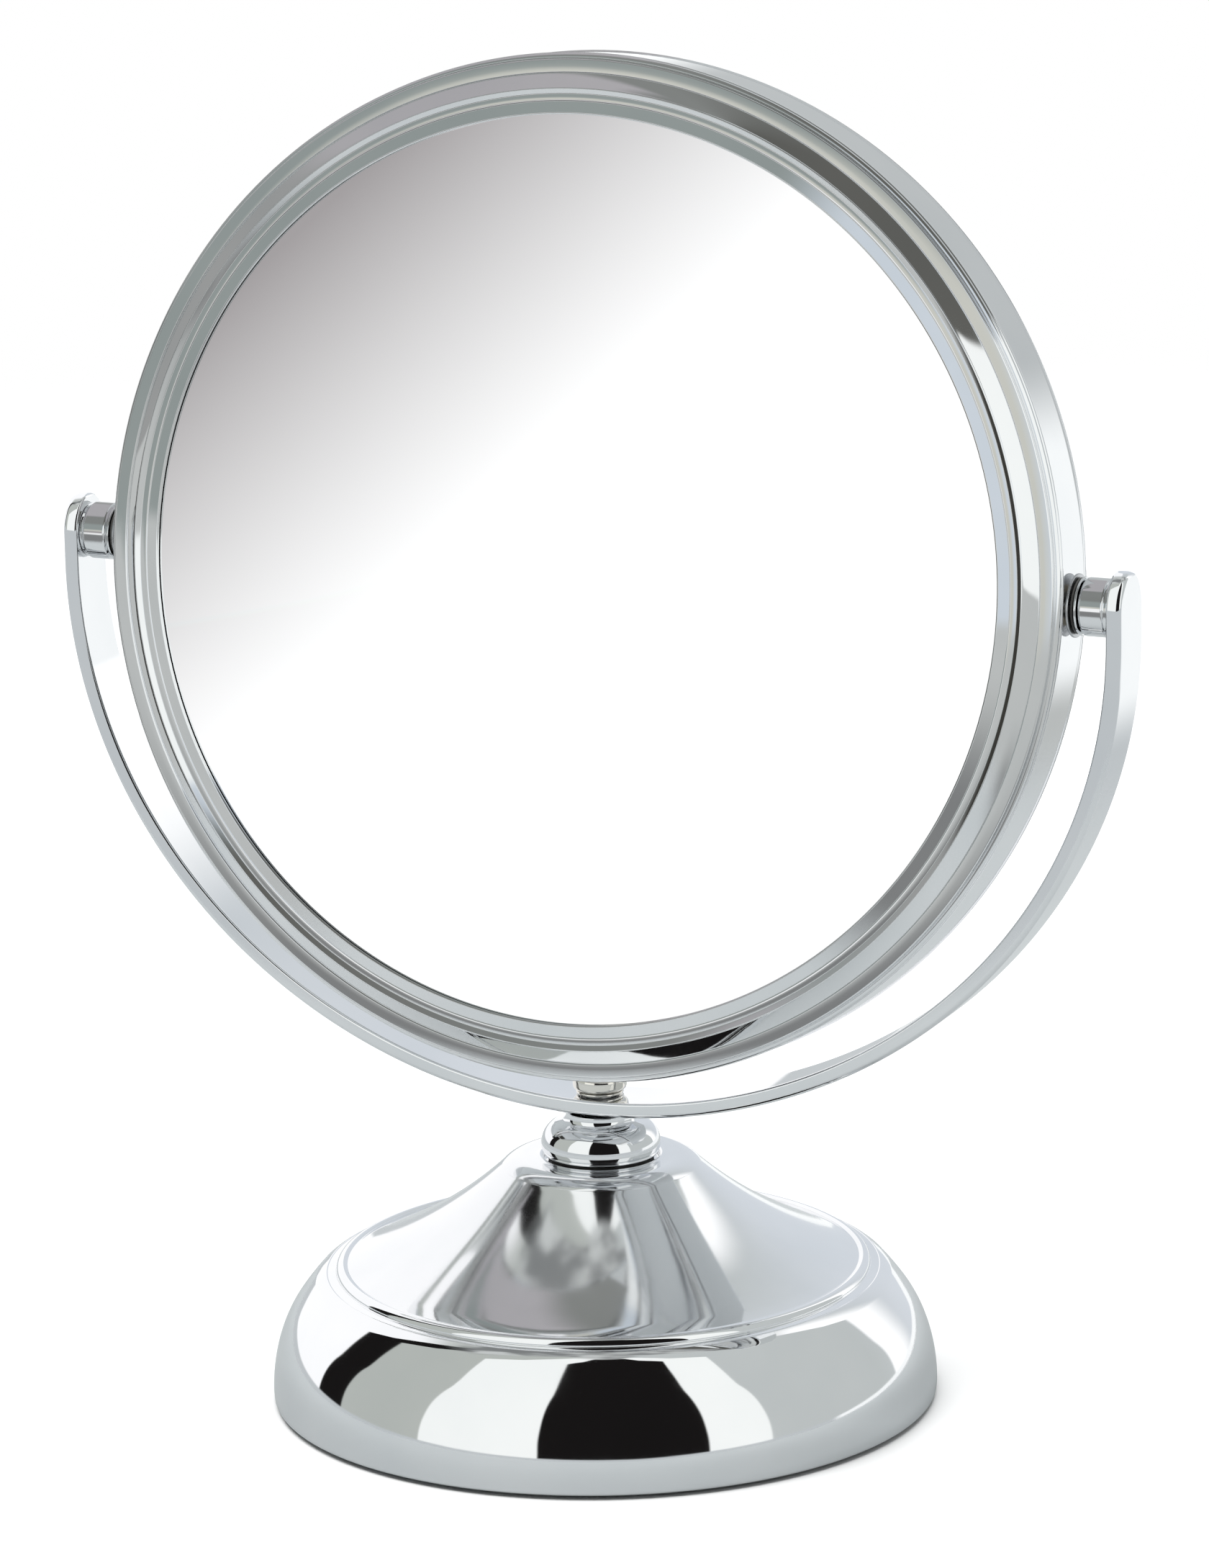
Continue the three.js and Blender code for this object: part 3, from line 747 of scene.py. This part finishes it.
def build_base():
    """Builds the spun shell, the ring that the collar turns on and the pad underneath."""
    shell = turned("base_bell", rounded(base_outline(), 0.2), WIDE_FACETS)
    dress(shell, "base", "chrome", ["base_shell"], "spun_chrome")
    low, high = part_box("swivel_washer")
    outline = rounded(ring_outline(ROD_BORE, SEAT_RADIUS - 0.7, low.z / MM, high.z / MM), 0.15)
    washer = turned("swivel_ring", outline, MEDIUM_FACETS)
    dress(washer, "base", "black_nylon", ["swivel_washer"])
    outline = rounded(ring_outline(0, PAD_RADIUS, 0, PAD_THICKNESS), 0.4)
    pad = turned("foot_pad", outline, WIDE_FACETS)
    dress(pad, "base", "foam_rubber_pad", ["base_pad"])


def dress_cad_nodes():
    """Puts the detailed materials on the CAD nodes that keep their own shape."""
    slots = {part["node"]: part["material_slot"] for part in frame["record"]["subparts"]}
    for name, node in frame["nodes"].items():
        node.data.materials.clear()
        node.data.materials.append(MATERIALS[slots[name]])


# ---- Stage: camera, surroundings, floor and light ----

def camera_axes():
    """The camera's place and its right, up and forward directions."""
    azimuth = math.radians(CAMERA_AZIMUTH_DEG)
    elevation = math.radians(CAMERA_ELEVATION_DEG)
    target = Vector((0, 0, PIVOT_HEIGHT * MM))
    back = Vector((
        math.sin(azimuth) * math.cos(elevation),
        -math.cos(azimuth) * math.cos(elevation),
        math.sin(elevation),
    ))
    forward = -back
    right = forward.cross(Vector((0, 0, 1))).normalized()
    up = right.cross(forward)
    forward, right = turn(forward, right, CAMERA_YAW_DEG)
    forward, up = turn(forward, up, CAMERA_PITCH_DEG)
    right, up = turn(right, up, CAMERA_ROLL_DEG)
    return target + back * CAMERA_DISTANCE_M, right, up, forward


def turn(first, second, degrees):
    """Turns two perpendicular directions towards each other in their own plane."""
    angle = math.radians(degrees)
    return (
        first * math.cos(angle) + second * math.sin(angle),
        second * math.cos(angle) - first * math.sin(angle),
    )


def add_camera():
    place, right, up, forward = camera_axes()
    data = bpy.data.cameras.new("camera")
    data.lens = CAMERA_LENS_MM
    data.sensor_width = CAMERA_SENSOR_MM
    data.sensor_fit = "AUTO"
    camera = bpy.data.objects.new("camera", data)
    rotation = Matrix((right, up, -forward)).transposed()
    camera.matrix_world = Matrix.Translation(place) @ rotation.to_4x4()
    bpy.context.scene.collection.objects.link(camera)
    bpy.context.scene.camera = camera


class Sky(NodeTree):
    """Paints surroundings by world direction.

    Azimuth and elevation are in degrees. Azimuth 0 is a fixed direction in the world, the one
    that CAMERA_AZIMUTH_DEG names, and azimuth grows to its right.
    """

    def __init__(self, tree, direction):
        super().__init__(tree)
        self.direction = direction
        azimuth = math.radians(CAMERA_AZIMUTH_DEG)
        right = self.axis((math.cos(azimuth), math.sin(azimuth), 0))
        self.front = self.axis((math.sin(azimuth), -math.cos(azimuth), 0))
        up = self.axis((0, 0, 1))
        self.azimuth = self.math("DEGREES", self.math("ARCTAN2", right, self.front))
        self.elevation = self.math("DEGREES", self.math("ARCSINE", up))

    def feed(self, source, target):
        """Links a node's output to a socket, or sets the socket to a plain value."""
        if hasattr(source, "is_output"):
            self.link(source, target)
        else:
            target.default_value = source

    def axis(self, along):
        """How far the direction points along a fixed axis, from -1 to 1."""
        node = self.add("ShaderNodeVectorMath", operation="DOT_PRODUCT")
        self.link(self.direction, node.inputs[0])
        node.inputs[1].default_value = along
        return node.outputs["Value"]

    def math(self, operation, *values):
        node = self.add("ShaderNodeMath", operation=operation)
        for value, socket in zip(values, node.inputs):
            self.feed(value, socket)
        return node.outputs["Value"]

    def step(self, value, start, end, shape="SMOOTHSTEP"):
        """0 up to start, 1 from end; start may be the larger one."""
        node = self.add("ShaderNodeMapRange", interpolation_type=shape)
        self.feed(value, node.inputs["Value"])
        node.inputs["From Min"].default_value = start
        node.inputs["From Max"].default_value = end
        return node.outputs["Result"]

    def band(self, value, low, high, soft=1.0):
        """1 between two limits, with soft edges."""
        rise = self.step(value, low - soft, low + soft)
        fall = self.step(value, high + soft, high - soft)
        return self.math("MULTIPLY", rise, fall)

    def both(self, first, second):
        return self.math("MULTIPLY", first, second)

    def below_horizon(self):
        return self.step(self.elevation, 0.0, -1.0)

    def clouds(self, scale, start, end):
        """Soft blotches from 0 to 1, spread over the directions."""
        node = self.add("ShaderNodeTexNoise")
        node.inputs["Scale"].default_value = scale
        node.inputs["Detail"].default_value = 2.0
        self.link(self.direction, node.inputs["Vector"])
        return self.step(node.outputs["Fac"], start, end)

    def paint(self, mask, under, over):
        """Puts a colour over another where the mask is 1."""
        node = self.add("ShaderNodeMix", data_type="RGBA")
        self.feed(mask, node.inputs["Factor"])
        self.feed(under, node.inputs[6])
        self.feed(over, node.inputs[7])
        return node.outputs[2]


# Tones of the surroundings, where 1 is plain white and more is brighter than white.
WHITE_TONE = (1.0, 1.0, 1.0, 1)
FLOOR_TONE = (0.60, 0.63, 0.645, 1)
FAR_FLOOR_TONE = (1.08, 1.10, 1.10, 1)
PANEL_TONE = (1.06, 1.08, 1.06, 1)
DARK_TONE = (0.010, 0.009, 0.009, 1)


def far_floor(sky):
    """The brightly lit stretch of ground behind on the right."""
    return sky.both(sky.step(sky.azimuth, 82, 88), sky.step(sky.elevation, -21.5, -17.5))


def open_room(sky):
    """What the base and the yoke see: two front panels, a dark slit between them, side strips."""
    azimuth, elevation = sky.azimuth, sky.elevation
    left_grey = (0.53, 0.555, 0.525, 1)
    right_grey = (0.585, 0.615, 0.61, 1)
    colour = sky.paint(sky.step(azimuth, -20, 20), left_grey, right_grey)
    back_blue = (0.74, 0.78, 0.83, 1)
    colour = sky.paint(sky.step(sky.front, -0.35, -0.95), colour, back_blue)
    # Bright wall behind on the left, with a dark gap in front of it.
    wall_tone = (1.13, 1.13, 1.14, 1)
    wall = sky.both(sky.step(azimuth, -116.5, -117.5), sky.step(elevation, 62, 50))
    colour = sky.paint(wall, colour, wall_tone)
    colour = sky.paint(sky.band(azimuth, -117, -103, 0.5), colour, DARK_TONE)
    # Narrow bright strip behind on the right.
    strip_tone = (1.25, 1.25, 1.25, 1)
    strip = sky.both(sky.step(azimuth, 119, 121), sky.step(azimuth, 142, 128))
    strip = sky.both(strip, sky.step(elevation, 62, 48))
    colour = sky.paint(strip, colour, strip_tone)
    # Front panels and the slit between them.
    colour = sky.paint(sky.band(azimuth, -67, 58, 0.5), colour, PANEL_TONE)
    colour = sky.paint(sky.band(azimuth, -23.5, 35, 0.5), colour, DARK_TONE)
    # Patchy grey ceiling, which comes lower behind.
    ceiling_dark = (0.24, 0.25, 0.25, 1)
    ceiling_light = (0.64, 0.66, 0.65, 1)
    ceiling = sky.paint(sky.clouds(5.5, 0.38, 0.62), ceiling_dark, ceiling_light)
    overhead = sky.step(elevation, 82, 86)
    behind = sky.both(sky.step(elevation, 56, 66), sky.step(sky.front, 0.0, -0.06))
    colour = sky.paint(sky.math("MAXIMUM", overhead, behind), colour, ceiling)
    ground = sky.paint(far_floor(sky), FLOOR_TONE, FAR_FLOOR_TONE)
    return sky.paint(sky.below_horizon(), colour, ground)


def shaded_room(sky):
    """What the mirror head sees: a dim ceiling, greyer walls and one bright front panel, no slit."""
    colour = shaded_walls(sky)
    colour = sky.paint(sky.below_horizon(), colour, shaded_ground(sky))
    # Dark gap in front of the wall behind on the left.
    gap_tone = (0.05, 0.048, 0.042, 1)
    gap = sky.both(sky.band(sky.azimuth, -109, -95, 2), sky.step(sky.elevation, 16, 10))
    colour = sky.paint(gap, colour, gap_tone)
    return fading_patch(sky, colour)


def shaded_walls(sky):
    """What the shaded room shows above the horizon."""
    azimuth, elevation = sky.azimuth, sky.elevation
    # Dim ceiling, with a lilac part on the left.
    ceiling_left = (0.25, 0.26, 0.25, 1)
    ceiling_right = (0.13, 0.13, 0.12, 1)
    ceiling = sky.paint(sky.step(azimuth, -60, 0), ceiling_left, ceiling_right)
    lilac_tone = (0.46, 0.445, 0.46, 1)
    lilac = sky.both(sky.step(azimuth, -72, -84), sky.step(elevation, 78, 70))
    ceiling = sky.paint(lilac, ceiling, lilac_tone)
    # Walls below it: grey on the left, then a low warm part, then a taller cool one.
    wall_back = (0.36, 0.365, 0.36, 1)
    wall_left = (0.32, 0.355, 0.345, 1)
    walls = sky.paint(sky.step(azimuth, -95, -80), wall_back, wall_left)
    warm_tone = (0.66, 0.66, 0.60, 1)
    warm = sky.both(sky.step(azimuth, -55, -49), sky.step(elevation, 14, 8))
    walls = sky.paint(warm, walls, warm_tone)
    cool_tone = (0.68, 0.74, 0.80, 1)
    cool = sky.both(sky.step(azimuth, -36, -30), sky.step(elevation, 34, 28))
    walls = sky.paint(cool, walls, cool_tone)
    colour = sky.paint(sky.step(elevation, 36, 26), ceiling, walls)
    # Grey right side, bright close to the ground.
    side_tone = (0.56, 0.585, 0.59, 1)
    colour = sky.paint(sky.step(azimuth, 62, 78), colour, side_tone)
    glow = sky.both(sky.step(azimuth, 80, 92), sky.step(elevation, 7, -0.5))
    colour = sky.paint(glow, colour, FAR_FLOOR_TONE)
    # The low ends of the bright wall and strip behind.
    wall_tone = (1.0, 1.0, 1.01, 1)
    wall = sky.both(sky.step(azimuth, -132, -140), sky.step(elevation, 14, 6))
    colour = sky.paint(wall, colour, wall_tone)
    strip_tone = (0.95, 0.95, 0.93, 1)
    strip = sky.both(sky.band(azimuth, 115, 134, 3), sky.step(elevation, 16, 6))
    colour = sky.paint(strip, colour, strip_tone)
    # Front panel, with a slanting top edge that is cut off level on the right.
    slant = 0.35
    above_slant = sky.math("SUBTRACT", elevation, sky.math("MULTIPLY", azimuth, slant))
    panel = sky.both(sky.band(azimuth, -16, 60), sky.step(above_slant, 27, 25))
    panel = sky.both(panel, sky.step(elevation, 41, 39))
    return sky.paint(panel, colour, PANEL_TONE)


def shaded_ground(sky):
    """What the shaded room shows below it: pale floor, dim in front and to the left of that."""
    azimuth, elevation = sky.azimuth, sky.elevation
    pale_tone = (0.57, 0.585, 0.575, 1)
    dim_tone = (0.24, 0.245, 0.245, 1)
    front_left = sky.both(sky.band(azimuth, -62, -2, 8), sky.band(elevation, -42, -7, 4))
    front = sky.both(sky.band(azimuth, -8, 25, 8), sky.band(elevation, -60, -22, 6))
    dim = sky.math("MAXIMUM", front_left, front)
    ground = sky.paint(dim, pale_tone, dim_tone)
    return sky.paint(far_floor(sky), ground, FAR_FLOOR_TONE)


def fading_patch(sky, colour):
    """Adds the small stretch that the resting glass shows, lilac grey fading to white on a slant."""
    lilac_grey = (0.385, 0.365, 0.37, 1)
    soft_white = (1.06, 1.06, 1.06, 1)
    across = sky.math("MULTIPLY", sky.azimuth, 0.73)
    upward = sky.math("MULTIPLY", sky.elevation, 0.685)
    slant = sky.math("SUBTRACT", across, upward)
    fade = sky.step(slant, -37.3, -35.05, "LINEAR")
    shine = sky.paint(fade, lilac_grey, soft_white)
    patch = sky.both(sky.band(sky.azimuth, -51, -42, 1.2), sky.band(sky.elevation, -6, 6, 1.2))
    return sky.paint(patch, colour, shine)


def build_world():
    """Whatever both rooms show; to the camera it is a plain white background."""
    world = bpy.data.worlds.new("studio")
    bpy.context.scene.world = world
    world.use_nodes = True
    tree = world.node_tree
    sky = Sky(tree, tree.nodes.new("ShaderNodeTexCoord").outputs["Generated"])
    shared = sky.vectors("MINIMUM", open_room(sky), shaded_room(sky))
    seen = sky.add("ShaderNodeLightPath").outputs["Is Camera Ray"]
    colour = sky.paint(seen, shared, WHITE_TONE)
    sky.link(colour, tree.nodes["Background"].inputs["Color"])


def add_dome(name, radius, own_room, other_room, pieces, link_state):
    """A far dome that adds what one room shows beyond the other to some pieces' reflections."""
    bpy.ops.mesh.primitive_uv_sphere_add(segments=32, ring_count=16, radius=radius)
    dome = bpy.context.object
    dome.name = name
    material = bpy.data.materials.new(name)
    material.use_nodes = True
    material.cycles.emission_sampling = "NONE"
    nodes = NodeTree(material.node_tree)
    nodes.tree.nodes.clear()
    position = nodes.add("ShaderNodeNewGeometry").outputs["Position"]
    sky = Sky(nodes.tree, nodes.vectors("NORMALIZE", position))
    extra = sky.vectors("SUBTRACT", own_room(sky), other_room(sky))
    emission = sky.add("ShaderNodeEmission")
    sky.link(sky.vectors("MAXIMUM", extra), emission.inputs["Color"])
    total = sky.add("ShaderNodeAddShader")
    sky.link(emission.outputs["Emission"], total.inputs[0])
    sky.link(sky.add("ShaderNodeBsdfTransparent").outputs["BSDF"], total.inputs[1])
    output = sky.add("ShaderNodeOutputMaterial")
    sky.link(total.outputs["Shader"], output.inputs["Surface"])
    dome.data.materials.append(material)
    dome.visible_camera = False
    dome.visible_diffuse = False
    dome.visible_shadow = False
    dome.visible_transmission = False
    receivers = bpy.data.collections.new(f"{name}_receivers")
    for piece in pieces:
        receivers.objects.link(piece)
    for entry in receivers.collection_objects:
        entry.light_linking.link_state = link_state
    dome.light_linking.receiver_collection = receivers


def floor_material():
    """Matt floor that fades into the background, sooner in reflections than to the camera."""
    mirrored_tone = (0.42, 0.44, 0.445, 1)
    seen_tone = (0.94, 0.94, 0.94, 1)
    mirrored_fade_m = (0.22, 0.34)
    seen_fade_m = (0.45, 0.9)
    nodes = Nodes("floor")
    nodes.shader.inputs["Roughness"].default_value = 0.9
    nodes.shader.inputs["Specular IOR Level"].default_value = 0.0
    seen = nodes.add("ShaderNodeLightPath").outputs["Is Camera Ray"]
    tone = nodes.add("ShaderNodeMix", data_type="RGBA")
    nodes.link(seen, tone.inputs["Factor"])
    tone.inputs[6].default_value = mirrored_tone
    tone.inputs[7].default_value = seen_tone
    nodes.link(tone.outputs[2], nodes.shader.inputs["Base Color"])
    distance = nodes.add("ShaderNodeVectorMath", operation="LENGTH")
    nodes.link(nodes.add("ShaderNodeNewGeometry").outputs["Position"], distance.inputs[0])
    alpha = nodes.add("ShaderNodeMix")
    nodes.link(seen, alpha.inputs["Factor"])
    for (near, far), socket in zip((mirrored_fade_m, seen_fade_m), alpha.inputs[2:4]):
        fade = nodes.add("ShaderNodeMapRange", interpolation_type="SMOOTHSTEP")
        nodes.link(distance.outputs["Value"], fade.inputs["Value"])
        fade.inputs["From Min"].default_value = far
        fade.inputs["From Max"].default_value = near
        nodes.link(fade.outputs["Result"], socket)
    nodes.link(alpha.outputs[0], nodes.shader.inputs["Alpha"])
    return nodes.material


def add_floor():
    """A wide disc just under the feet."""
    facets = 64
    ring = []
    for i in range(facets):
        angle = 2 * math.pi * i / facets
        ring.append((FLOOR_RADIUS_M * math.cos(angle), FLOOR_RADIUS_M * math.sin(angle), 0))
    mesh = bpy.data.meshes.new("floor")
    mesh.from_pydata(ring, [], [tuple(range(facets))])
    mesh.materials.append(floor_material())
    floor = bpy.data.objects.new("floor", mesh)
    floor.location.z = -FLOOR_DROP_M
    bpy.context.scene.collection.objects.link(floor)


def add_light():
    """Large soft light overhead that brightens the floor without showing in the chrome."""
    data = bpy.data.lights.new("overhead", "AREA")
    data.shape = "DISK"
    data.size = LIGHT_SIZE_M
    data.energy = LIGHT_POWER_W
    light = bpy.data.objects.new("overhead", data)
    light.location = LIGHT_PLACE_M
    aim = -Vector(LIGHT_PLACE_M)
    light.rotation_euler = aim.to_track_quat("-Z", "Y").to_euler()
    light.visible_glossy = False
    light.visible_camera = False
    bpy.context.scene.collection.objects.link(light)


def build_stage(head_pieces):
    add_camera()
    add_floor()
    build_world()
    add_dome("head_room", HEAD_DOME_RADIUS_M, shaded_room, open_room, head_pieces, "INCLUDE")
    add_dome("base_room", BASE_DOME_RADIUS_M, open_room, shaded_room, head_pieces, "EXCLUDE")
    add_light()
    bpy.context.scene.view_settings.view_transform = "Standard"


head_pieces = build_head()
build_yoke_band()
head_pieces += build_pivot("left", -1)
head_pieces += build_pivot("right", 1)
build_stem()
build_base()
dress_cad_nodes()
build_stage(head_pieces)
